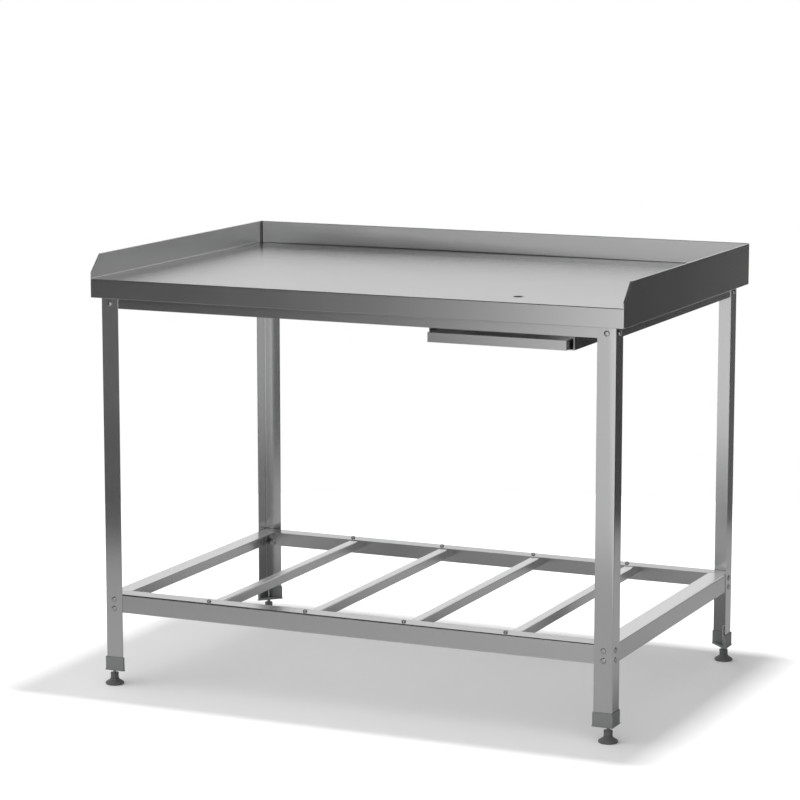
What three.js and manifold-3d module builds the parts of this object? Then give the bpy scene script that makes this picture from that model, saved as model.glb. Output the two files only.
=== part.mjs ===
// A stainless steel work table: a folded worktop with an upstand on three sides, bolted to a frame of
// folded angles, with a lower rack of crossbars, a drain hole over a pull-out drip tray, and levelling feet.
// Millimetres. +X is the table's right end, the front faces -Y, and the floor is Z = 0.
import * as THREE from "three";
import { mergeVertices } from "three/addons/utils/BufferGeometryUtils.js";
import Module from "manifold-3d";

const wasm = await Module();
wasm.setup();

// --- driving dimensions ---------------------------------------------------------------------------
const WIDTH = 1200;
const DEPTH = 800;
const WORKTOP_Z = 883; // the working surface
const UPSTAND = 50; // above the working surface, on the left, back and right
const APRON = 40; // below the working surface, all round
const SHEET = 1.5;
const HEM = 3; // the upstand is folded double
const CORNER_R = 4; // the worktop's vertical corners
const UPSTAND_CUT = 40; // the 45 degree cut at the front end of each side upstand
const APRON_CLIP = 2.5; // the apron's lower corners
const SEAM = 3.5; // the open seam in each back corner of the upstand
const SEAM_DEPTH = 2;

const ANGLE = 40; // both flanges of the legs and rails
const BEND_R = 3; // outside of a fold
const LEG_INSET_SIDE = 20; // from the worktop's side to the leg's outer face
const LEG_INSET_FRONT = 12;
const LEG_INSET_BACK = 24;
const LEG_FOOT_Z = 35.5;
const LEG_TOP_Z = 878;

const LOWER_RAIL_Z = 202; // the rails' top faces
const UPPER_RAIL_Z = 860.5;
const LOWER_BOLTS = [-32, -12]; // bolt heights below a rail's top face
const UPPER_BOLTS = [-30, -10];
const BOLT_IN = 20; // from the leg's corner to its bolts
const MITRE_GAP = 1;
const FOLD_CLEAR = 2; // what a rail's end keeps from the fold of the leg

const CROSSBARS = 4;
const CROSSBAR_PITCH = 227; // between the bolts of neighbouring crossbars
const CROSSBAR = 20; // both flanges
const CROSSBAR_OFFSET = 3.5; // from a crossbar's bolt to the near edge of its top flange
const LUG_EDGE = 9.5; // from a crossbar's bolt to the edge of the lug it goes through

const SHANK_R = 3;
const HOLE_R = 3.3;
const FRAME_HEAD = { r: 5.9, height: 2.8 };
const RACK_HEAD = { r: 4.9, height: 4.4 };
const HEAD_CROWN = 0.55; // the flat of a head's dome, as a share of its radius
const HEAD_RIM = 0.35; // the height of a head's rim, as a share of its height
const NUT = { r: 5.5, height: 5 };
const BOLT_TIP = 1.5; // what a bolt shows beyond its nut
const BOLT_SIDES = 8;
const NUT_PLATE = { width: 14, height: 33, thickness: 2 };

const STIFFENERS = [-410, -130, 130, 410];
const HAT_WIDTH = 40;
const HAT_LIP = 15;

const DRAIN = { x: 340, y: -307, r: 10 };
const TRAY = { x: 328, front: -395, width: 300, depth: 360, height: 20, z: 792.5, wall: 1.2 };
const GUIDE = { gap: 5.5, front: -370, back: 358, bottom: 790, sheet: 2, ledge: 17, flange: 20 };

const FOOT_IN = 12; // from the leg's outer faces to the foot's axis
const CAP = { bottom: 33, top: 63, wall: 1.8, lip: 1.1, lipHeight: 2.2, floorTop: 38, clearance: 0.3 };
const PAD = { r: 20, collar: 9.6, rim: 3.4, top: 13, edge: 1.4, socket: 4.5, socketFloor: 4.8 };
const HEX = { across: 17.6, bottom: 13.4, top: 25.4 };
const STUD = { r: 4, top: 78, pin: 5.2, hole: 4.4 };

const BACK_Y = DEPTH / 2;
const SIDE_X = WIDTH / 2;
const LEG_X = SIDE_X - LEG_INSET_SIDE;
const LEG_FRONT = -BACK_Y + LEG_INSET_FRONT;
const LEG_BACK = BACK_Y - LEG_INSET_BACK;

// --- materials ------------------------------------------------------------------------------------
const steel = (name, color, roughness) =>
  new THREE.MeshStandardMaterial({ name, color, roughness, metalness: 1 });
const plastic = (name, color, roughness) =>
  new THREE.MeshStandardMaterial({ name, color, roughness, metalness: 0 });
const WORKTOP_STEEL = steel("worktop_steel", 0xc9cbcc, 0.3);
const FRAME_STEEL = steel("frame_steel", 0xc2c4c4, 0.35);
const RACK_STEEL = steel("rack_steel", 0xc6c8c8, 0.35);
const TRAY_STEEL = steel("tray_steel", 0xbfc1c2, 0.35);
const BOLT_STEEL = steel("bolt_steel", 0xb4b6b8, 0.25);
const CAP_PLASTIC = plastic("cap_plastic", 0x63666a, 0.6);
const PAD_PLASTIC = plastic("pad_plastic", 0x56595c, 0.65);

// --- shapes ---------------------------------------------------------------------------------------
// A closed geometry as a manifold-3d solid. A turned profile may wind either way, so faces that point
// inwards are turned round.
function solidOf(geometry) {
  const bare = new THREE.BufferGeometry();
  bare.setAttribute("position", geometry.getAttribute("position"));
  bare.setIndex(geometry.index);
  const merged = mergeVertices(bare, 1e-4);
  const corners = merged.index.array;
  const build = (a, b, c) => {
    const triangles = [];
    for (let i = 0; i < corners.length; i += 3) {
      const t = [corners[i + a], corners[i + b], corners[i + c]];
      if (t[0] !== t[1] && t[1] !== t[2] && t[2] !== t[0]) triangles.push(...t);
    }
    return new wasm.Manifold(
      new wasm.Mesh({
        numProp: 3,
        vertProperties: merged.attributes.position.array,
        triVerts: new Uint32Array(triangles),
      }),
    );
  };
  const made = build(0, 1, 2);
  return made.volume() < 0 ? build(0, 2, 1) : made;
}

function geometryOf(solid) {
  const { vertProperties, triVerts } = solid.getMesh();
  const geometry = new THREE.BufferGeometry();
  geometry.setAttribute("position", new THREE.BufferAttribute(new Float32Array(vertProperties), 3));
  geometry.setIndex(new THREE.BufferAttribute(new Uint32Array(triVerts), 1));
  geometry.computeVertexNormals();
  return geometry;
}

// An outline extruded from low to high along an axis. Its points are in the other two axes, in
// alphabetical order.
function prism(axis, outline, low, high) {
  const swap = axis === "y";
  const points = outline.map(([a, b]) => new THREE.Vector2(swap ? b : a, swap ? a : b));
  const geometry = new THREE.ExtrudeGeometry(new THREE.Shape(points), {
    depth: high - low,
    bevelEnabled: false,
    steps: 1,
  });
  geometry.translate(0, 0, low);
  const basis = {
    x: [new THREE.Vector3(0, 1, 0), new THREE.Vector3(0, 0, 1), new THREE.Vector3(1, 0, 0)],
    y: [new THREE.Vector3(0, 0, 1), new THREE.Vector3(1, 0, 0), new THREE.Vector3(0, 1, 0)],
    z: [new THREE.Vector3(1, 0, 0), new THREE.Vector3(0, 1, 0), new THREE.Vector3(0, 0, 1)],
  }[axis];
  geometry.applyMatrix4(new THREE.Matrix4().makeBasis(...basis));
  return solidOf(geometry);
}

const rectangle = (x0, y0, x1, y1) => [[x0, y0], [x1, y0], [x1, y1], [x0, y1]];

const block = (x0, y0, z0, x1, y1, z1) => prism("z", rectangle(x0, y0, x1, y1), z0, z1);

// Points on an arc, from one angle to another in degrees.
function arc(cx, cy, r, from, to, steps) {
  return Array.from({ length: steps + 1 }, (_, i) => {
    const angle = THREE.MathUtils.degToRad(from + ((to - from) * i) / steps);
    return [cx + r * Math.cos(angle), cy + r * Math.sin(angle)];
  });
}

// A regular outline whose first corner is half a side round from the first axis.
function polygon(cx, cy, r, sides) {
  return Array.from({ length: sides }, (_, i) => {
    const angle = ((i + 0.5) * 2 * Math.PI) / sides;
    return [cx + r * Math.cos(angle), cy + r * Math.sin(angle)];
  });
}

// A profile of [radius, height] points turned about Z.
function turned(profile, segments) {
  const points = profile.map(([r, z]) => new THREE.Vector2(r, z));
  const geometry = new THREE.LatheGeometry(points, segments, Math.PI / segments);
  geometry.rotateX(Math.PI / 2);
  return solidOf(geometry);
}

// The section of a folded angle, with its outer corner at the origin and its flanges along both axes.
function angleSection(a, b) {
  const bend = (r, steps) => arc(BEND_R, BEND_R, r, 180, 270, steps);
  return [
    [0, b],
    ...bend(BEND_R, 4),
    [a, 0],
    [a, SHEET],
    ...bend(BEND_R - SHEET, 4).reverse(),
    [SHEET, b],
  ];
}

// --- the scene graph ------------------------------------------------------------------------------
const table = new THREE.Group();
table.name = "stainless_work_table";

function add(name, geometry, material, [x, y, z] = [0, 0, 0], turn = 0) {
  const mesh = new THREE.Mesh(geometry, material);
  mesh.name = name;
  mesh.position.set(x, y, z);
  mesh.rotation.z = THREE.MathUtils.degToRad(turn);
  table.add(mesh);
  return mesh;
}

// The four corners. Turned by its angle, a corner's two leg flanges run along +X and +Y from its
// outer corner; faces names the side that its -Y face and its -X face turn to.
const CORNERS = [
  { name: "front_left", x: -LEG_X, y: LEG_FRONT, turn: 0, faces: ["front", "side"] },
  { name: "front_right", x: LEG_X, y: LEG_FRONT, turn: 90, faces: ["side", "front"] },
  { name: "back_right", x: LEG_X, y: LEG_BACK, turn: 180, faces: ["back", "side"] },
  { name: "back_left", x: -LEG_X, y: LEG_BACK, turn: 270, faces: ["side", "back"] },
];

// --- worktop --------------------------------------------------------------------------------------
function worktopOutline() {
  const x = SIDE_X - CORNER_R;
  const y = BACK_Y - CORNER_R;
  return [
    ...arc(x, -y, CORNER_R, 270, 360, 4),
    ...arc(x, y, CORNER_R, 0, 90, 4),
    ...arc(-x, y, CORNER_R, 90, 180, 4),
    ...arc(-x, -y, CORNER_R, 180, 270, 4),
  ];
}

function makeWorktop() {
  const top = WORKTOP_Z + UPSTAND;
  const bottom = WORKTOP_Z - APRON;
  const over = 1; // cutters run this far past the faces they cut
  const innerX = SIDE_X - HEM;
  const innerY = BACK_Y - HEM;
  let body = prism("z", worktopOutline(), bottom, top);
  body = body.subtract(block(-innerX, -BACK_Y - over, WORKTOP_Z, innerX, innerY, top + over));
  const skirtX = SIDE_X - SHEET;
  const skirtY = BACK_Y - SHEET;
  body = body.subtract(block(-skirtX, -skirtY, bottom - over, skirtX, skirtY, WORKTOP_Z - SHEET));
  const cut = [
    [-BACK_Y - over, top - UPSTAND_CUT - over],
    [-BACK_Y + UPSTAND_CUT + over, top + over],
    [-BACK_Y - over, top + over],
  ];
  body = body.subtract(prism("x", cut, -SIDE_X - over, SIDE_X + over));
  for (const side of [-1, 1]) {
    const clip = [
      [side * (SIDE_X + over), bottom + APRON_CLIP + over],
      [side * (SIDE_X + over), bottom - over],
      [side * (SIDE_X - APRON_CLIP - over), bottom - over],
    ];
    body = body.subtract(prism("y", clip, -BACK_Y - over, -BACK_Y + CORNER_R));
    const seam = [
      [side * (innerX + SEAM_DEPTH), innerY - SHEET],
      [side * (innerX - SEAM), innerY - SHEET],
      [side * (innerX - SEAM), innerY + SEAM_DEPTH],
      [side * (innerX + SEAM_DEPTH), innerY + SEAM_DEPTH],
    ];
    body = body.subtract(prism("z", seam, WORKTOP_Z, top + over));
  }
  const drain = polygon(DRAIN.x, DRAIN.y, DRAIN.r, 24);
  return body.subtract(prism("z", drain, WORKTOP_Z - SHEET - over, WORKTOP_Z + over));
}

// A hat section folded under the worktop, which rests on the front and back upper rails.
function makeStiffener() {
  const half = HAT_WIDTH / 2;
  const top = WORKTOP_Z - SHEET;
  const low = UPPER_RAIL_Z;
  const rightHalf = [
    [half, low],
    [half, top - SHEET],
    [half + HAT_LIP, top - SHEET],
    [half + HAT_LIP, top],
    [half - SHEET, top],
    [half - SHEET, low + SHEET],
  ];
  const leftHalf = rightHalf.map(([x, z]) => [-x, z]).reverse();
  const railInset = SHEET + BEND_R;
  return prism("y", [...rightHalf, ...leftHalf], LEG_FRONT + railInset, LEG_BACK - railInset);
}

// --- frame ----------------------------------------------------------------------------------------
// A leg in its corner's own frame: flanges along +X and +Y, outer faces on X = 0 and Y = 0.
function makeLeg() {
  let leg = prism("z", angleSection(ANGLE, ANGLE), LEG_FOOT_Z, LEG_TOP_Z);
  const heights = [
    ...LOWER_BOLTS.map((z) => LOWER_RAIL_Z + z),
    ...UPPER_BOLTS.map((z) => UPPER_RAIL_Z + z),
  ];
  for (const z of heights) {
    leg = leg.subtract(prism("y", polygon(BOLT_IN, z, HOLE_R, 8), -1, SHEET + 1));
    leg = leg.subtract(prism("x", polygon(BOLT_IN, z, HOLE_R, 8), -1, SHEET + 1));
  }
  return leg;
}

// A rail in its own frame: it runs along X, its outer face is Y = 0 and its top face is Z = 0. The top
// flange points inwards along +Y, and its ends are mitred from mitreStart inwards.
function makeRail(half, mitreStart, boltX, boltHeights, rackBolts) {
  const section = angleSection(ANGLE, ANGLE).map(([y, z]) => [y, -z]);
  const tip = half - (ANGLE - mitreStart);
  const plan = [
    [-half, -1],
    [half, -1],
    [half, mitreStart],
    [tip - 1, ANGLE + 1],
    [-tip + 1, ANGLE + 1],
    [-half, mitreStart],
  ];
  let rail = prism("x", section, -half, half).intersect(prism("z", plan, -ANGLE - 1, 1));
  for (const side of [-1, 1]) {
    for (const z of boltHeights) {
      rail = rail.subtract(prism("y", polygon(side * boltX, z, HOLE_R, 8), -1, SHEET + 1));
    }
  }
  for (const x of rackBolts) {
    rail = rail.subtract(prism("z", polygon(x, ANGLE / 2, HOLE_R, 8), -SHEET - 1, 1));
  }
  return rail;
}

// --- rack -----------------------------------------------------------------------------------------
const rackBoltX = Array.from(
  { length: CROSSBARS },
  (_, i) => (i - (CROSSBARS - 1) / 2) * CROSSBAR_PITCH,
);
const RACK_BOLT_FRONT = LEG_FRONT + SHEET + ANGLE / 2;
const RACK_BOLT_BACK = LEG_BACK - SHEET - ANGLE / 2;

// A crossbar about its bolts' X: a small angle under the rails, with a lug at each end for its bolt.
function makeCrossbar() {
  const top = LOWER_RAIL_Z - SHEET;
  const right = CROSSBAR_OFFSET + CROSSBAR;
  const front = LEG_FRONT + 2 * SHEET + FOLD_CLEAR;
  const back = LEG_BACK - 2 * SHEET - FOLD_CLEAR;
  const section = angleSection(CROSSBAR, CROSSBAR).map(([x, z]) => [right - x, top - z]);
  let bar = prism("y", section, front, back);
  const lugs = [
    [front, LEG_FRONT + SHEET + ANGLE],
    [LEG_BACK - SHEET - ANGLE, back],
  ];
  for (const [low, high] of lugs) {
    bar = bar.add(block(-LUG_EDGE, low, top - SHEET, right - BEND_R, high, top));
  }
  for (const y of [RACK_BOLT_FRONT, RACK_BOLT_BACK]) {
    bar = bar.subtract(prism("z", polygon(0, y, HOLE_R, 8), top - SHEET - 1, top + 1));
  }
  return bar;
}

// --- fasteners ------------------------------------------------------------------------------------
// A domed bolt and its nut, turned about Z: its head sits on Z = 0 and its nut's face is at -grip.
function makeBolt(head, grip) {
  const nutEnd = -grip - NUT.height;
  return turned(
    [
      [0, head.height],
      [head.r * HEAD_CROWN, head.height],
      [head.r, head.height * HEAD_RIM],
      [head.r, 0],
      [SHANK_R, 0],
      [SHANK_R, -grip],
      [NUT.r, -grip],
      [NUT.r, nutEnd],
      [SHANK_R, nutEnd],
      [SHANK_R, nutEnd - BOLT_TIP],
      [0, nutEnd - BOLT_TIP],
    ],
    BOLT_SIDES,
  );
}

// A pair of bolts through a leg and a rail, held by one nut plate. It is made about its upper bolt,
// with the heads facing -Y and the leg's face on Y = 0.
function makeBoltPair() {
  const grip = 2 * SHEET + NUT_PLATE.thickness;
  const spacing = UPPER_BOLTS[1] - UPPER_BOLTS[0];
  const bolt = geometryOf(makeBolt(FRAME_HEAD, grip)).rotateX(Math.PI / 2);
  const upper = solidOf(bolt);
  const lower = solidOf(bolt.clone().translate(0, 0, -spacing));
  const halfWidth = NUT_PLATE.width / 2;
  const beyond = (NUT_PLATE.height - spacing) / 2;
  const plate = block(-halfWidth, 2 * SHEET, -spacing - beyond, halfWidth, grip, beyond);
  return plate.add(upper).add(lower);
}

// --- drip tray ------------------------------------------------------------------------------------
function makeTray() {
  const { x, front, width, depth, height, z, wall } = TRAY;
  const half = width / 2;
  const body = block(x - half, front, z, x + half, front + depth, z + height);
  return body.subtract(
    block(x - half + wall, front + wall, z + wall, x + half - wall, front + depth - wall, z + height + 1),
  );
}

// A guide that hangs under the upper rails and carries one side of the tray. side is 1 on the right.
function makeGuide(side) {
  const { gap, front, back, bottom, sheet, ledge, flange } = GUIDE;
  const web = TRAY.width / 2 + gap;
  const top = UPPER_RAIL_Z - SHEET;
  const section = [
    [web + sheet - ledge, bottom],
    [web + sheet, bottom],
    [web + sheet, top - sheet],
    [web + flange, top - sheet],
    [web + flange, top],
    [web, top],
    [web, bottom + sheet],
    [web + sheet - ledge, bottom + sheet],
  ];
  return prism("y", section.map(([x, z]) => [TRAY.x + side * x, z]), front, back);
}

// --- leg caps and levelling feet --------------------------------------------------------------------
// The leg's section grown by an offset, with a small chamfer in its inner corner.
function angleOutline(offset, chamfer) {
  const low = -offset;
  const high = ANGLE + offset;
  const inner = SHEET + offset;
  return [
    [low, low],
    [high, low],
    [high, inner],
    [inner + chamfer, inner],
    [inner, inner + chamfer],
    [inner, high],
    [low, high],
  ];
}

// A shoe in its leg corner's own frame: it wraps the leg's end, and its three-cornered floor holds the
// stud.
function makeCap() {
  const { bottom, top, wall, lip, lipHeight, floorTop, clearance } = CAP;
  const chamfer = BEND_R - SHEET;
  const open = top + 1;
  const reach = ANGLE + wall;
  const shoulder = SHEET + wall;
  const floor = [
    [-wall, -wall],
    [reach, -wall],
    [reach, shoulder],
    [shoulder, reach],
    [-wall, reach],
  ];
  return prism("z", angleOutline(wall, chamfer), bottom, top)
    .add(prism("z", angleOutline(wall + lip, chamfer), bottom, bottom + lipHeight))
    .add(prism("z", floor, bottom, floorTop))
    .subtract(prism("z", angleOutline(clearance, chamfer), LEG_FOOT_Z - clearance, open))
    .subtract(prism("z", polygon(FOOT_IN, FOOT_IN, STUD.hole, 12), bottom - 1, floorTop + 1));
}

// The bell-shaped pad about the foot's axis, with a socket for the stud's pin.
function makePad() {
  const { r, collar, rim, top, edge, socket, socketFloor } = PAD;
  const steps = 5;
  const bell = Array.from({ length: steps + 1 }, (_, i) => {
    const share = (1 + Math.cos((Math.PI * i) / steps)) / 2;
    return [collar + (r - collar) * share, rim + ((top - rim) * i) / steps];
  });
  return turned(
    [[0, 0], [r - edge, 0], [r, edge], ...bell, [socket, top], [socket, socketFloor], [0, socketFloor]],
    16,
  );
}

// The threaded stud about the foot's axis, with the hexagon that turns it.
function makeStud() {
  const corner = HEX.across / Math.sqrt(3);
  const rod = prism("z", polygon(0, 0, STUD.r, 12), STUD.pin, STUD.top);
  return rod.add(prism("z", polygon(0, 0, corner, 6), HEX.bottom, HEX.top));
}

// --- assembly -------------------------------------------------------------------------------------
add("worktop", geometryOf(makeWorktop()), WORKTOP_STEEL);

const stiffener = geometryOf(makeStiffener());
STIFFENERS.forEach((x, i) => add(`worktop_stiffener_${i + 1}`, stiffener, FRAME_STEEL, [x, 0, 0]));

const leg = geometryOf(makeLeg());
const boltPair = geometryOf(makeBoltPair());
const cap = geometryOf(makeCap());
const pad = geometryOf(makePad());
const stud = geometryOf(makeStud());
const BOLT_LEVELS = [
  ["lower", LOWER_RAIL_Z + LOWER_BOLTS[1]],
  ["upper", UPPER_RAIL_Z + UPPER_BOLTS[1]],
];

// A point of a corner's own frame, in the table's frame.
function cornerPoint(corner, x, y, z) {
  const point = new THREE.Vector3(x, y, z);
  point.applyAxisAngle(new THREE.Vector3(0, 0, 1), THREE.MathUtils.degToRad(corner.turn));
  return [corner.x + point.x, corner.y + point.y, z];
}

for (const corner of CORNERS) {
  const place = [corner.x, corner.y, 0];
  add(`leg_${corner.name}`, leg, FRAME_STEEL, place, corner.turn);
  add(`leg_cap_${corner.name}`, cap, CAP_PLASTIC, place, corner.turn);
  const foot = cornerPoint(corner, FOOT_IN, FOOT_IN, 0);
  add(`foot_pad_${corner.name}`, pad, PAD_PLASTIC, foot);
  add(`foot_stud_${corner.name}`, stud, BOLT_STEEL, foot);
  for (const [level, z] of BOLT_LEVELS) {
    const [first, second] = corner.faces;
    const name = (face) => `bolts_${level}_${corner.name}_${face}`;
    add(name(first), boltPair, BOLT_STEEL, cornerPoint(corner, BOLT_IN, 0, z), corner.turn);
    add(name(second), boltPair, BOLT_STEEL, cornerPoint(corner, 0, BOLT_IN, z), corner.turn - 90);
  }
}

// Rails: the front and back ones run the whole way between the legs, the side ones fit between them.
const frameMiddle = (LEG_FRONT + LEG_BACK) / 2;
const longHalf = LEG_X - SHEET - FOLD_CLEAR;
const sideHalf = (LEG_BACK - LEG_FRONT) / 2 - 2 * SHEET - FOLD_CLEAR;
const sideMitre = 2 * SHEET + MITRE_GAP;
const longBoltX = LEG_X - BOLT_IN;
const sideBoltX = (LEG_BACK - LEG_FRONT) / 2 - BOLT_IN;
const RAIL_LEVELS = [
  { level: "lower", z: LOWER_RAIL_Z, bolts: LOWER_BOLTS, rack: rackBoltX },
  { level: "upper", z: UPPER_RAIL_Z, bolts: UPPER_BOLTS, rack: [] },
];
for (const { level, z, bolts, rack } of RAIL_LEVELS) {
  const long = geometryOf(makeRail(longHalf, 0, longBoltX, bolts, rack));
  const short = geometryOf(makeRail(sideHalf, sideMitre, sideBoltX, bolts, []));
  const side = LEG_X - SHEET;
  add(`${level}_rail_front`, long, FRAME_STEEL, [0, LEG_FRONT + SHEET, z], 0);
  add(`${level}_rail_back`, long, FRAME_STEEL, [0, LEG_BACK - SHEET, z], 180);
  add(`${level}_rail_right`, short, FRAME_STEEL, [side, frameMiddle, z], 90);
  add(`${level}_rail_left`, short, FRAME_STEEL, [-side, frameMiddle, z], 270);
}

const crossbar = geometryOf(makeCrossbar());
const rackBolt = geometryOf(makeBolt(RACK_HEAD, 2 * SHEET));
rackBoltX.forEach((x, i) => {
  add(`crossbar_${i + 1}`, crossbar, RACK_STEEL, [x, 0, 0]);
  add(`crossbar_bolt_${i + 1}_front`, rackBolt, BOLT_STEEL, [x, RACK_BOLT_FRONT, LOWER_RAIL_Z]);
  add(`crossbar_bolt_${i + 1}_back`, rackBolt, BOLT_STEEL, [x, RACK_BOLT_BACK, LOWER_RAIL_Z]);
});

add("drip_tray", geometryOf(makeTray()), TRAY_STEEL);
add("tray_guide_left", geometryOf(makeGuide(-1)), FRAME_STEEL);
add("tray_guide_right", geometryOf(makeGuide(1)), FRAME_STEEL);

export default table;
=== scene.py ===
"""Looks for the stainless work table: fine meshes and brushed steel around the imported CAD, in its frame.

Metres, +X the table's right end, the front faces -Y, and the floor is Z = 0.
"""

import math

import bmesh
import bpy
from mathutils import Matrix, Vector


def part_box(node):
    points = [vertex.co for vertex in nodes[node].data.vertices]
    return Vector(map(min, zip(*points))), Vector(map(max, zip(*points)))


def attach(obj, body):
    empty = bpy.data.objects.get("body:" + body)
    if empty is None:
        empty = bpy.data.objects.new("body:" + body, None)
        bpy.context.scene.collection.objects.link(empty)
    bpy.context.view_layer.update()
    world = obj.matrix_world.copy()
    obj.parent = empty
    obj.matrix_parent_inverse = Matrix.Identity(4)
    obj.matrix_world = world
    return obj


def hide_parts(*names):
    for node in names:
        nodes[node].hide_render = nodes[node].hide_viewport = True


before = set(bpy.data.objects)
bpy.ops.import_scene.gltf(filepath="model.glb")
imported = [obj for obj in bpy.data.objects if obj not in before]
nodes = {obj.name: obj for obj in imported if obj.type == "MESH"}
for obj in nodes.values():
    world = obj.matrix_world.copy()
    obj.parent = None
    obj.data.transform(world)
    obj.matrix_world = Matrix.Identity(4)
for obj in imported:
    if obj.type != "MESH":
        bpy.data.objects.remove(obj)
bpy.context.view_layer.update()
MM = 0.001
X, Y, Z = (Vector(axis) for axis in ((1, 0, 0), (0, 1, 0), (0, 0, 1)))

# --- sizes of the fine meshes, in millimetres ------------------------------------------------------
SHEET = 1.5  # thickness of the folded sheet
FOLD_R = 3  # the worktop's folds
HEM_R = 1.2  # the folded top of the upstand
APRON_R = SHEET / 2.2  # the bottom edge of the apron
EDGE_R = 0.35  # sheared edges
CAP_R = 0.6  # edges of the moulded leg caps
BOLT_SPACING = 20  # between the two bolts of a pair
FRAME_HEAD = {"r": 5.9, "height": 2.8}
RACK_HEAD = {"r": 4.9, "height": 4.4}
NUT = {"r": 5.75, "height": 5, "chamfer": 0.6}  # r is to its corners
NUT_PLATE = {"width": 14, "height": 33, "thickness": 2, "corner": 2, "chamfer": 0.3}
BOLT_THREAD = {"root": 2.6, "depth": 0.4, "pitch": 1.0}
BOLT_TIP = 1.5  # what a bolt shows beyond its nut
BOLT_SEGMENTS = 24  # segments of a bolt's head and nut
STUD_THREAD_PITCH = 1.25
STUD_THREAD_DEPTH = 0.65
STUD_R = 4
HEX_R = 10.16  # the stud's hexagon, to its corners
HEX_LOW, HEX_TOP = 13.4, 25.4
ROUND = 48  # segments of a turned piece

# --- how the CAD's triangles are joined, in metres and radians -------------------------------------
SAME_POINT = 2e-6
SAME_PLANE = math.radians(1)
HERE = Matrix.Identity(4)


# --- materials -------------------------------------------------------------------------------------
class Finish:
    """A procedural material, built a node at a time."""

    def __init__(self, name):
        self.material = bpy.data.materials.new(name)
        self.material.use_nodes = True
        self.tree = self.material.node_tree
        self.surface = self.tree.nodes["Principled BSDF"]
        self.place = self.add("ShaderNodeTexCoord").outputs["Object"]

    def add(self, kind, **settings):
        node = self.tree.nodes.new(kind)
        for name, value in settings.items():
            setattr(node, name, value)
        return node

    def link(self, source, target):
        self.tree.links.new(source, target)

    def noise(self, per_metre, detail=2.0, rough=0.5):
        """Noise from 0 to 1, whose frequency along each axis is given per metre."""
        mapping = self.add("ShaderNodeMapping")
        mapping.inputs["Scale"].default_value = per_metre
        self.link(self.place, mapping.inputs["Vector"])
        noise = self.add("ShaderNodeTexNoise")
        noise.inputs["Scale"].default_value = 1
        noise.inputs["Detail"].default_value = detail
        noise.inputs["Roughness"].default_value = rough
        self.link(mapping.outputs["Vector"], noise.inputs["Vector"])
        return noise.outputs["Fac"]

    def mixed(self, terms, base):
        """base plus each (signal, amount) term, where a signal swings from 0 to 1 about its middle."""
        total = None
        for signal, amount in terms:
            scale = self.add("ShaderNodeMath", operation="MULTIPLY_ADD")
            self.link(signal, scale.inputs[0])
            scale.inputs[1].default_value = amount
            scale.inputs[2].default_value = base - amount / 2 if total is None else -amount / 2
            if total is None:
                total = scale.outputs[0]
            else:
                add = self.add("ShaderNodeMath", operation="ADD")
                self.link(total, add.inputs[0])
                self.link(scale.outputs[0], add.inputs[1])
                total = add.outputs[0]
        return total

    def tone(self, signal, dark, light):
        """Colours the surface from dark to light as the signal goes from 0 to 1."""
        ramp = self.add("ShaderNodeValToRGB")
        ramp.color_ramp.elements[0].color = (*dark, 1)
        ramp.color_ramp.elements[1].color = (*light, 1)
        self.link(signal, ramp.inputs["Fac"])
        self.link(ramp.outputs["Color"], self.surface.inputs["Base Color"])

    def bump(self, height, distance, strength=1.0):
        bump = self.add("ShaderNodeBump")
        bump.inputs["Strength"].default_value = strength
        bump.inputs["Distance"].default_value = distance
        self.link(height, bump.inputs["Height"])
        self.link(bump.outputs["Normal"], self.surface.inputs["Normal"])


def brushed_steel(name, grain, grey=0.6, roughness=0.24, anisotropy=0.7):
    """Stainless steel brushed along an axis: its highlights spread across the grain."""
    steel = Finish(name)
    along = [abs(c) for c in grain]
    fine = steel.noise([40 if a > 0.5 else 2600 for a in along], detail=2)
    coarse = steel.noise([5 if a > 0.5 else 300 for a in along], detail=2)
    smudge = steel.noise([5, 5, 5], detail=3, rough=0.6)
    dark = [grey * tint for tint in (0.95, 0.955, 0.96)]
    light = [grey * tint for tint in (1.04, 1.045, 1.04)]
    steel.tone(steel.mixed([(fine, 0.6), (coarse, 0.25), (smudge, 0.3)], 0.5), dark, light)
    rough = steel.mixed([(fine, 0.05), (coarse, 0.015), (smudge, 0.03)], roughness)
    steel.link(rough, steel.surface.inputs["Roughness"])
    steel.bump(fine, 0.0000015)
    steel.surface.inputs["Metallic"].default_value = 1
    steel.surface.inputs["Anisotropic"].default_value = anisotropy
    normal = steel.add("ShaderNodeNewGeometry").outputs["Normal"]
    across = steel.add("ShaderNodeVectorMath", operation="CROSS_PRODUCT")
    across.inputs[1].default_value = grain
    steel.link(normal, across.inputs[0])
    steel.link(across.outputs["Vector"], steel.surface.inputs["Tangent"])
    return steel.material


def bright_steel(name, grey=0.55, roughness=0.22):
    """Zinc-bright fasteners, faintly mottled."""
    steel = Finish(name)
    mottle = steel.noise([700] * 3, detail=3)
    patch = steel.noise([90] * 3)
    steel.tone(steel.mixed([(mottle, 0.5), (patch, 0.5)], 0.5), [grey * 0.86] * 3, [grey * 1.1] * 3)
    steel.link(steel.mixed([(mottle, 0.1), (patch, 0.08)], roughness), steel.surface.inputs["Roughness"])
    steel.bump(mottle, 0.00001)
    steel.surface.inputs["Metallic"].default_value = 1
    return steel.material


def moulded_plastic(name, dark, light, roughness):
    """Fine-grained moulded plastic, a little paler where it has been handled."""
    plastic = Finish(name)
    grain = plastic.noise([2200] * 3, detail=2)
    patch = plastic.noise([60] * 3, detail=3)
    plastic.tone(plastic.mixed([(grain, 0.3), (patch, 0.7)], 0.5), dark, light)
    rough = plastic.mixed([(grain, 0.12), (patch, 0.12)], roughness)
    plastic.link(rough, plastic.surface.inputs["Roughness"])
    plastic.bump(grain, 0.00004, strength=0.6)
    plastic.surface.inputs["Specular IOR Level"].default_value = 0.4
    return plastic.material


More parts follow.
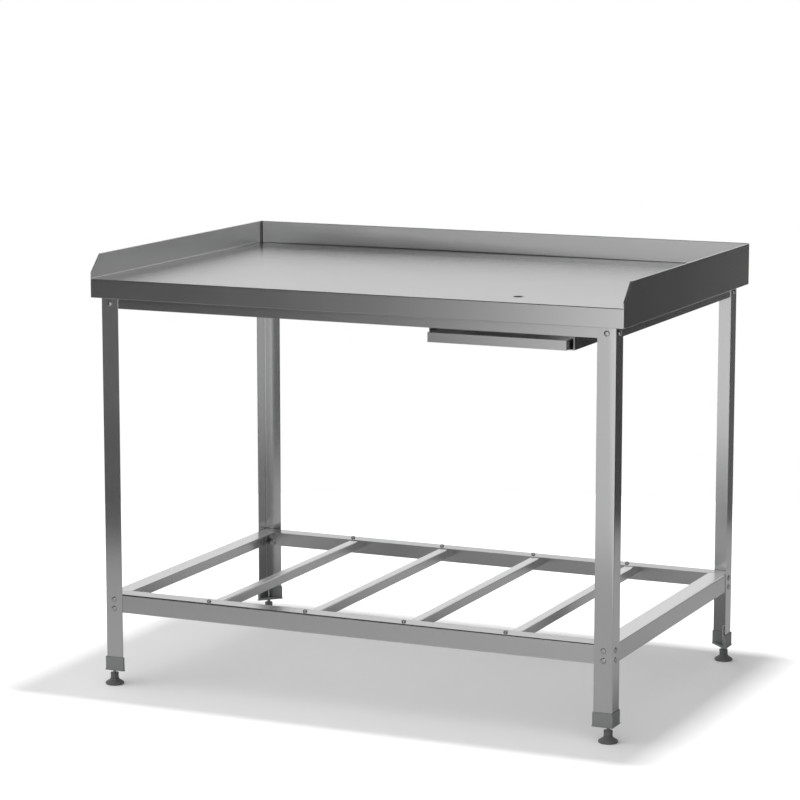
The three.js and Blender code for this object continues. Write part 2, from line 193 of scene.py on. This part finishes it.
WORKTOP_X = brushed_steel("worktop_brushed_x", X, grey=0.6, roughness=0.24, anisotropy=0.7)
WORKTOP_Y = brushed_steel("worktop_brushed_y", Y, grey=0.58, roughness=0.24, anisotropy=0.7)
FRAME_X = brushed_steel("frame_brushed_x", X)
FRAME_Y = brushed_steel("frame_brushed_y", Y)
FRAME_Z = brushed_steel("frame_brushed_z", Z, roughness=0.2, anisotropy=0.4)
TRAY_STEEL = brushed_steel("tray_brushed", X)
# Painted shade: near-black steel on the walls of the open seams in the worktop's back corners stands in for
# the shade inside those narrow pockets.
SEAM_PAINTED_SHADE = brushed_steel("seam_shadow", Z, grey=0.05, roughness=0.6, anisotropy=0)
BOLT_STEEL = bright_steel("bolt_steel")
STUD_STEEL = bright_steel("stud_steel", grey=0.62, roughness=0.18)
CAP_PLASTIC = moulded_plastic("cap_plastic", (0.12, 0.124, 0.124), (0.16, 0.165, 0.164), 0.5)
PAD_PLASTIC = moulded_plastic("pad_plastic", (0.072, 0.075, 0.074), (0.104, 0.107, 0.106), 0.55)


# --- mesh tools ------------------------------------------------------------------------------------
def make_piece(name, mesh, slot, *replaced):
    """A visible piece that stands for the replaced CAD nodes and hides them; the slot is not used."""
    piece = bpy.data.objects.new(name, mesh)
    bpy.context.scene.collection.objects.link(piece)
    if replaced:
        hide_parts(*replaced)
    return piece


def mesh_of(bm, name, *materials, smooth_below=35):
    """Turns a bmesh into a mesh in metres, with edges sharper than smooth_below degrees kept sharp."""
    bmesh.ops.recalc_face_normals(bm, faces=bm.faces)
    mesh = bpy.data.meshes.new(name)
    bm.to_mesh(mesh)
    bm.free()
    for material in materials:
        mesh.materials.append(material)
    mesh.shade_smooth()
    mesh.set_sharp_from_angle(angle=math.radians(smooth_below))
    return mesh


def hexagon(angle):
    """How far out a hexagon is at an angle, where its corners are at 1."""
    return math.cos(math.pi / 6) / math.cos(angle % (math.pi / 3) - math.pi / 6)


def skin(bm, rows):
    """Closes a solid through rows of vertices, each with the same number of them."""
    for below, above in zip(rows, rows[1:]):
        for i in range(len(below)):
            j = (i + 1) % len(below)
            bm.faces.new((below[i], below[j], above[j], above[i]))
    bm.faces.new(rows[0][::-1])
    bm.faces.new(rows[-1])


def turned_row(bm, radius_at, height, segments, place):
    """Vertices round +Z at a height, where radius_at gives the radius at an angle."""
    row = []
    for i in range(segments):
        angle = 2 * math.pi * i / segments
        r = radius_at(angle)
        point = Vector((r * math.cos(angle), r * math.sin(angle), height)) * MM
        row.append(bm.verts.new(place @ point))
    return row


def loft(bm, rings, segments=ROUND, place=HERE):
    """A closed solid about +Z through rings of (radius, height, hexagonal share), in millimetres."""
    rows = []
    for radius, height, hexed in rings:
        def radius_at(angle):
            return radius * (1 - hexed + hexed * hexagon(angle))

        rows.append(turned_row(bm, radius_at, height, segments, place))
    skin(bm, rows)


def rounded_rectangle(width, height, corner, steps=4):
    """Points round a rectangle about the origin."""
    points = []
    for quarter, (sx, sy) in enumerate(((1, 1), (-1, 1), (-1, -1), (1, -1))):
        for i in range(steps + 1):
            angle = math.radians(90 * (quarter + i / steps))
            points.append((sx * (width / 2 - corner) + corner * math.cos(angle),
                           sy * (height / 2 - corner) + corner * math.sin(angle)))
    return points


def plate(bm, outlines, place=HERE):
    """A closed solid through (outline, height) sections that have the same number of points."""
    rows = []
    for outline, z in outlines:
        rows.append([bm.verts.new(place @ (Vector((x, y, z)) * MM)) for x, y in outline])
    skin(bm, rows)


def absolute(vector):
    return Vector([abs(c) for c in vector])


def flat_faced(node):
    """A copy of a CAD node as a bmesh, with its triangles joined back into flat faces."""
    bm = bmesh.new()
    bm.from_mesh(nodes[node].data)
    bmesh.ops.remove_doubles(bm, verts=bm.verts, dist=SAME_POINT)
    bmesh.ops.dissolve_limit(bm, angle_limit=SAME_PLANE, verts=bm.verts, edges=bm.edges)
    return bm


# --- fasteners -------------------------------------------------------------------------------------
def dome(radius, height, rim=0.7, crown=0.5, ease=0.25, steps=7):
    """Rings of a button head that rests on Z = 0, flat within crown of its radius."""
    rings = [(radius - ease, 0, 0), (radius, ease, 0), (radius, rim, 0)]
    for i in range(1, steps + 1):
        angle = math.radians(90 * i / steps)
        reach = crown + (1 - crown) * math.cos(angle)
        rings.append((radius * reach, rim + (height - rim) * math.sin(angle), 0))
    return rings


def nut(top):
    """Rings of a chamfered hexagon nut whose upper face is at top."""
    corner, chamfer = NUT["r"], NUT["chamfer"]
    flat = corner * math.cos(math.pi / 6)
    low = top - NUT["height"]
    return [(flat, low, 0), (corner, low + chamfer, 1), (corner, top - chamfer, 1), (flat, top, 0)]


def threaded_rod(bm, root, depth, low, high, pitch, segments=24, place=HERE):
    """A closed rod about +Z from low to high, with a helical thread that fades out at both ends."""
    rows_per_turn = 6
    count = round((high - low) / pitch * rows_per_turn)
    rows = []
    for step in range(count + 1):
        z = low + (high - low) * step / count

        def radius_at(angle):
            fade = min(1, (high - z) / pitch, (z - low) / pitch)
            wave = abs(((z / pitch - angle / (2 * math.pi)) % 1) * 2 - 1)
            return root + depth * fade * wave

        rows.append(turned_row(bm, radius_at, z, segments, place))
    skin(bm, rows)


def bolt_and_nut(bm, head, grip, place=HERE):
    """A button-headed bolt about +Z, its head on Z = 0 and its nut beyond -grip."""
    into_head = 0.2
    tip = -grip - NUT["height"] - BOLT_TIP
    loft(bm, dome(head["r"], head["height"]), BOLT_SEGMENTS, place)
    loft(bm, nut(-grip), BOLT_SEGMENTS, place)
    root, depth, pitch = (BOLT_THREAD[key] for key in ("root", "depth", "pitch"))
    threaded_rod(bm, root, depth, tip, into_head, pitch, 16, place)


def bolt_pair_mesh():
    """Two bolts and their nut plate about +Z, one above the other along Y."""
    bm = bmesh.new()
    grip = 2 * SHEET + NUT_PLATE["thickness"]
    for side in (-1, 1):
        bolt_and_nut(bm, FRAME_HEAD, grip, Matrix.Translation((0, side * BOLT_SPACING / 2 * MM, 0)))
    width, height, corner, chamfer = (NUT_PLATE[key] for key in ("width", "height", "corner", "chamfer"))
    whole = rounded_rectangle(width, height, corner)
    eased = rounded_rectangle(width - 2 * chamfer, height - 2 * chamfer, corner - 0.2)
    plate(bm, [(eased, -grip), (whole, -grip + chamfer), (whole, -2 * SHEET - chamfer), (eased, -2 * SHEET)])
    return mesh_of(bm, "bolt_pair", BOLT_STEEL)


def add_bolt_pairs():
    mesh = bolt_pair_mesh()
    outward = {"front": -Y, "back": Y, "left": -X, "right": X}
    for name in nodes:
        if not name.startswith("bolts_"):
            continue
        face = name.rsplit("_", 1)[1]
        if face == "side":
            face = "left" if "_left_" in name else "right"
        out = outward[face]
        low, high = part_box(name)
        head_top = (high if sum(out) > 0 else low).dot(absolute(out)) * sum(out)
        centre = (low + high) / 2
        origin = centre + out * (head_top - FRAME_HEAD["height"] * MM - centre.dot(out))
        across = Z.cross(out)
        turn = Matrix((across, Z, across.cross(Z))).transposed().to_4x4()
        piece = make_piece("fine_" + name, mesh, "bolt_steel", name)
        piece.matrix_world = Matrix.Translation(origin) @ turn
        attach(piece, "frame")


def add_rack_bolts():
    bm = bmesh.new()
    bolt_and_nut(bm, RACK_HEAD, 2 * SHEET)
    mesh = mesh_of(bm, "rack_bolt", BOLT_STEEL)
    for name in nodes:
        if name.startswith("crossbar_bolt_"):
            low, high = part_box(name)
            centre = (low + high) / 2
            piece = make_piece("fine_" + name, mesh, "bolt_steel", name)
            piece.location = (centre.x, centre.y, high.z - RACK_HEAD["height"] * MM)
            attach(piece, "frame")


# --- feet ------------------------------------------------------------------------------------------
def stud_mesh(low, top):
    """The levelling stud: a pin in the pad, and an M8 thread up to top."""
    bm = bmesh.new()
    loft(bm, [(STUD_R - 0.5, low, 0), (STUD_R, low + 0.5, 0), (STUD_R, HEX_LOW + 1, 0)], 24)
    root = STUD_R - STUD_THREAD_DEPTH
    threaded_rod(bm, root, STUD_THREAD_DEPTH, HEX_LOW + 0.5, top, STUD_THREAD_PITCH)
    return mesh_of(bm, "stud", STUD_STEEL)


def collar_mesh():
    """The moulded hexagon that turns the stud."""
    bm = bmesh.new()
    flat = HEX_R * math.cos(math.pi / 6)
    loft(bm, [(flat - 0.5, HEX_LOW, 0), (flat, HEX_LOW + 0.3, 0.2), (HEX_R - 0.3, HEX_LOW + 1, 0.9),
              (HEX_R - 0.7, (HEX_LOW + HEX_TOP) / 2, 0.9), (HEX_R - 0.2, HEX_TOP - 1.4, 0.9),
              (flat, HEX_TOP - 0.4, 0.3), (flat - 0.5, HEX_TOP, 0), (STUD_R + 0.6, HEX_TOP, 0),
              (STUD_R + 0.2, HEX_TOP - 0.6, 0)])
    return mesh_of(bm, "collar", PAD_PLASTIC)


def pad_mesh(rim=3.2, top=13, collar=9.6, radius=20, steps=14):
    """The bell-shaped pad, with a rounded foot and a socket for the stud."""
    bm = bmesh.new()
    base = [(radius - 2.2, 0, 0), (radius - 1.2, 0.3, 0), (radius - 0.4, 1, 0), (radius, 2, 0)]
    bell = []
    for i in range(steps + 1):
        share = (1 + math.cos(math.pi * i / steps)) / 2
        bell.append((collar + (radius - collar) * share, rim + (top - 0.4 - rim) * i / steps, 0))
    bore = STUD_R + 0.5
    socket = [(collar - 0.4, top, 0), (bore + 0.5, top, 0), (bore, top - 0.5, 0), (bore, 5, 0)]
    loft(bm, base + bell + socket)
    return mesh_of(bm, "pad", PAD_PLASTIC, smooth_below=50)


def add_feet():
    corners = [name[len("foot_pad_"):] for name in nodes if name.startswith("foot_pad_")]
    stud_low, stud_high = (corner.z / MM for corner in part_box("foot_stud_" + corners[0]))
    pad, stud, collar = pad_mesh(), stud_mesh(stud_low, stud_high), collar_mesh()
    for corner in corners:
        low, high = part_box("foot_pad_" + corner)
        axis = ((low.x + high.x) / 2, (low.y + high.y) / 2, 0)
        pad_node, stud_node = "foot_pad_" + corner, "foot_stud_" + corner
        pieces = (
            (make_piece("fine_" + pad_node, pad, "pad_plastic", pad_node), pad_node),
            (make_piece("fine_" + stud_node, stud, "stud_steel", stud_node), stud_node),
            (make_piece("foot_collar_" + corner, collar, "pad_plastic"), stud_node),
        )
        for piece, body in pieces:
            piece.location = axis
            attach(piece, body)


# --- worktop ---------------------------------------------------------------------------------------
def add_worktop():
    """The CAD sheet with its folds rounded: wide at the bends, narrow at the hems and cut edges."""
    same_height = 0.0002
    seam_reach = 0.008  # how far the open seams' edges reach from the back corners
    seam_depth = 0.007  # and how far the middles of their walls are from them
    outer_face = 0.0005  # a face nearer the box than this is the sheet's outside
    bm = flat_faced("worktop")
    low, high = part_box("worktop")
    wide = [face for face in bm.faces if face.normal.z > 0.9 and face.calc_area() > 0.5]
    surface = max(face.calc_center_median().z for face in wide)
    weights = bm.edges.layers.float.new("bevel_weight_edge")

    def near(value, target):
        return abs(value - target) < same_height

    def in_seam(face):
        """Whether a face is a wall of the open seam in a back corner."""
        place = face.calc_center_median()
        depth = min(high.x - abs(place.x), high.y - place.y)
        beside = max(high.x - abs(place.x), high.y - place.y)
        return place.z > surface and abs(face.normal.z) < 0.5 and depth > outer_face and beside < seam_depth

    def on_seam(a, b):
        """Whether an edge from a to b stays within one back corner."""
        one_corner = a.x * b.x > 0 and min(abs(a.x), abs(b.x)) > high.x - seam_reach
        return one_corner and min(a.y, b.y) > high.y - seam_reach

    for edge in bm.edges:
        if len(edge.link_faces) != 2 or edge.calc_face_angle(0) < math.radians(30):
            continue
        a, b = (v.co for v in edge.verts)
        if on_seam(a, b):
            continue
        level = near(a.z, b.z)
        if level and near(a.z, surface):
            edge[weights] = 1
        elif level and near(a.z, high.z):
            edge[weights] = HEM_R / FOLD_R
        elif level and near(a.z, low.z):
            edge[weights] = APRON_R / FOLD_R
        else:
            edge[weights] = EDGE_R / FOLD_R
    for face in bm.faces:
        # The walls of the open seams take the painted shade; side faces take the steel brushed along Y.
        face.material_index = 2 if in_seam(face) else 1 if abs(face.normal.x) > 0.7 else 0
    mesh = mesh_of(bm, "worktop_sheet", WORKTOP_X, WORKTOP_Y, SEAM_PAINTED_SHADE)
    piece = make_piece("worktop_sheet", mesh, "worktop_steel", "worktop")
    round_edges(piece, FOLD_R, by_weight=True, segments=4)
    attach(piece, "frame")


def round_edges(piece, radius, by_weight=False, segments=2):
    """Rounds a piece's sharp edges, or those that have a weight, without bending its flat faces."""
    bevel = piece.modifiers.new("rounded", "BEVEL")
    bevel.width = radius * MM
    bevel.segments = segments
    bevel.limit_method = "WEIGHT" if by_weight else "ANGLE"
    bevel.angle_limit = math.radians(40)
    bevel.use_clamp_overlap = not by_weight
    bevel.miter_outer = "MITER_SHARP" if by_weight else "MITER_ARC"
    normals = piece.modifiers.new("flat faces stay flat", "WEIGHTED_NORMAL")
    normals.weight = 100
    normals.keep_sharp = True


# --- CAD nodes that stay ---------------------------------------------------------------------------
def smooth_shading():
    """A node group that smooths a mesh's shading, so that its bends don't look faceted."""
    group = bpy.data.node_groups.new("smooth", "GeometryNodeTree")
    group.interface.new_socket("Geometry", in_out="INPUT", socket_type="NodeSocketGeometry")
    group.interface.new_socket("Geometry", in_out="OUTPUT", socket_type="NodeSocketGeometry")
    start = group.nodes.new("NodeGroupInput")
    shade = group.nodes.new("GeometryNodeSetShadeSmooth")
    end = group.nodes.new("NodeGroupOutput")
    group.links.new(start.outputs[0], shade.inputs["Geometry"])
    group.links.new(shade.outputs[0], end.inputs[0])
    return group


SMOOTH = smooth_shading()


def dress(name, material, radius=EDGE_R):
    """Gives a CAD node its finish, joins its triangles into flat faces and eases its edges."""
    node = nodes[name]
    node.data.materials.clear()
    node.data.materials.append(material)
    weld = node.modifiers.new("weld", "WELD")
    weld.merge_threshold = SAME_POINT
    flat = node.modifiers.new("flat faces", "DECIMATE")
    flat.decimate_type = "DISSOLVE"
    flat.angle_limit = SAME_PLANE
    smooth = node.modifiers.new("smooth", "NODES")
    smooth.node_group = SMOOTH
    round_edges(node, radius)


def dress_frame():
    for name in nodes:
        if name.startswith("leg_cap_"):
            dress(name, CAP_PLASTIC, CAP_R)
        elif name.startswith("leg_"):
            dress(name, FRAME_Z)
        elif "_rail_" in name:
            dress(name, FRAME_X if name.endswith(("front", "back")) else FRAME_Y)
        elif name.startswith(("crossbar", "tray_guide", "worktop_stiffener")) and "bolt" not in name:
            dress(name, FRAME_Y)
        elif name == "drip_tray":
            dress(name, TRAY_STEEL)


# --- stage -----------------------------------------------------------------------------------------
FLOOR_R = 2.1
FLOOR_Z = -0.0002  # just below the pads
FLOOR_SEEN = 0.9  # how pale the floor is
FLOOR_MIRRORED = 0.29  # and how pale where the steel mirrors it
LAMP = {"place": (0.15, 0.16, 4.4), "size": (0.6, 0.34), "power": 185}
CAMERA = {"place": (2.5762, -5.8505, 1.6369), "down": 9.178, "turn": 24.259, "lens": 134.33, "sensor": 36}


def mirrored_ray(tree):
    """1 for what the steel mirrors to the eye, and 0 for every other ray."""
    rays = tree.nodes.new("ShaderNodeLightPath").outputs
    first = tree.nodes.new("ShaderNodeMath")
    first.operation = "LESS_THAN"
    first.inputs[1].default_value = 0.5
    tree.links.new(rays["Diffuse Depth"], first.inputs[0])
    both = tree.nodes.new("ShaderNodeMath")
    both.operation = "MULTIPLY"
    tree.links.new(rays["Is Glossy Ray"], both.inputs[0])
    tree.links.new(first.outputs[0], both.inputs[1])
    return both.outputs[0]


def add_floor():
    bm = bmesh.new()
    bmesh.ops.create_circle(bm, cap_ends=True, segments=96, radius=FLOOR_R)
    floor = bpy.data.objects.new("floor", bpy.data.meshes.new("floor"))
    bm.to_mesh(floor.data)
    bm.free()
    floor.location.z = FLOOR_Z
    bpy.context.scene.collection.objects.link(floor)
    finish = Finish("floor")
    finish.surface.inputs["Roughness"].default_value = 0.9
    finish.surface.inputs["Specular IOR Level"].default_value = 0
    mix = finish.add("ShaderNodeMix", data_type="RGBA")
    finish.link(mirrored_ray(finish.tree), mix.inputs["Factor"])
    mix.inputs["A"].default_value = (*[FLOOR_SEEN] * 3, 1)
    mix.inputs["B"].default_value = (*[FLOOR_MIRRORED] * 3, 1)
    finish.link(mix.outputs["Result"], finish.surface.inputs["Base Color"])
    floor.data.materials.append(finish.material)


# The softboxes that the steel mirrors. Azimuth 0 is in front of the table and 90 at its right.
SOFTBOXES = (
    {"azimuth": -141, "half_width": 52, "elevations": (-35, 28), "brightness": 0.98},
    {"azimuth": -90, "half_width": 30, "elevations": (28, 55), "brightness": 1.5},
    {"azimuth": -19, "half_width": 0.5, "elevations": (-35, 28), "brightness": 0.75},
    {"azimuth": 16, "half_width": 35, "elevations": (-35, 28), "brightness": 0.85},
    {"azimuth": 70, "half_width": 21, "elevations": (-35, -4), "brightness": 0.85},
    {"azimuth": 155, "half_width": 25, "elevations": (4, 28), "brightness": 0.6},
    {"azimuth": 90, "half_width": 30, "elevations": (28, 55), "brightness": 1.8},
)
SOFT_EDGE = 6  # degrees over which a softbox fades
ROOM_LIGHT = 1.2  # what the floor and the plastic get from all round
ROOM_SIDE = (-0.6, -0.6, -0.5)  # and how much more of it comes from the front left


def add_world():
    """A studio that is white to the eye and, to the steel, dark with a few large softboxes."""
    world = bpy.data.worlds.new("studio")
    bpy.context.scene.world = world
    world.use_nodes = True
    tree = world.node_tree
    background = tree.nodes["Background"]

    def add(kind, *inputs, output=0, **settings):
        node = tree.nodes.new(kind)
        for name, value in settings.items():
            setattr(node, name, value)
        for socket, value in zip(node.inputs, inputs):
            if isinstance(value, bpy.types.NodeSocket):
                tree.links.new(value, socket)
            else:
                socket.default_value = value
        return node.outputs[output]

    def step(value, start, end):
        """0 below start and 1 above end, or the other way round where end is lower."""
        low, high = sorted((start, end))
        ends = (0, 1) if start < end else (1, 0)
        return add("ShaderNodeMapRange", value, low, high, *ends, interpolation_type="SMOOTHSTEP")

    def product(*factors):
        total = factors[0]
        for factor in factors[1:]:
            total = add("ShaderNodeMath", total, factor, operation="MULTIPLY")
        return total

    direction = add("ShaderNodeTexCoord", output=0)
    height = add("ShaderNodeSeparateXYZ", direction, output=2)
    level = add("ShaderNodeVectorMath", direction, (1, 1, 0), operation="MULTIPLY")
    heading = add("ShaderNodeVectorMath", level, operation="NORMALIZE")

    def softbox(azimuth, half_width, elevations, brightness):
        a = math.radians(azimuth)
        facing = add("ShaderNodeVectorMath", heading, (math.sin(a), -math.cos(a), 0),
                     operation="DOT_PRODUCT", output=1)
        inner, outer = (math.cos(math.radians(half_width + e)) for e in (-SOFT_EDGE / 2, SOFT_EDGE / 2))
        low, high = elevations
        rise = (math.sin(math.radians(low + e)) for e in (-SOFT_EDGE / 2, SOFT_EDGE / 2))
        fall = (math.sin(math.radians(high + e)) for e in (SOFT_EDGE / 2, -SOFT_EDGE / 2))
        return product(step(facing, outer, inner), step(height, *rise), step(height, *fall), brightness)

    mirrored = 0
    for box in SOFTBOXES:
        mirrored = add("ShaderNodeMath", mirrored, softbox(**box), operation="ADD")
    to_steel = mirrored_ray(tree)
    to_rest = add("ShaderNodeMath", 1, to_steel, operation="SUBTRACT")
    side = add("ShaderNodeVectorMath", direction, ROOM_SIDE, operation="DOT_PRODUCT", output=1)
    lean = add("ShaderNodeMath", side, ROOM_LIGHT, ROOM_LIGHT, operation="MULTIPLY_ADD")
    rays = tree.nodes.new("ShaderNodeLightPath").outputs
    seen = add("ShaderNodeMath", rays["Is Camera Ray"], lean, operation="MAXIMUM")
    room = product(to_rest, seen)
    lit = add("ShaderNodeMath", mirrored, to_steel, room, operation="MULTIPLY_ADD")
    tree.links.new(lit, background.inputs["Strength"])
    background.inputs["Color"].default_value = (1, 1, 1, 1)


def add_lamp():
    """The softbox over the table, which points straight down and isn't mirrored by the steel."""
    light = bpy.data.lights.new("overhead", "AREA")
    light.shape = "RECTANGLE"
    light.size, light.size_y = LAMP["size"]
    light.energy = LAMP["power"]
    holder = bpy.data.objects.new("overhead", light)
    holder.location = LAMP["place"]
    holder.visible_glossy = False
    bpy.context.scene.collection.objects.link(holder)


def add_camera():
    camera = bpy.data.cameras.new("camera")
    camera.sensor_width = CAMERA["sensor"]
    camera.lens = CAMERA["lens"]
    holder = bpy.data.objects.new("camera", camera)
    holder.location = CAMERA["place"]
    holder.rotation_euler = (math.radians(90 - CAMERA["down"]), 0, math.radians(CAMERA["turn"]))
    bpy.context.scene.collection.objects.link(holder)
    bpy.context.scene.camera = holder


# --- assembly --------------------------------------------------------------------------------------
add_camera()
add_world()
add_floor()
add_lamp()
bpy.context.scene.view_settings.view_transform = "Standard"

add_worktop()
add_bolt_pairs()
add_rack_bolts()
add_feet()
dress_frame()
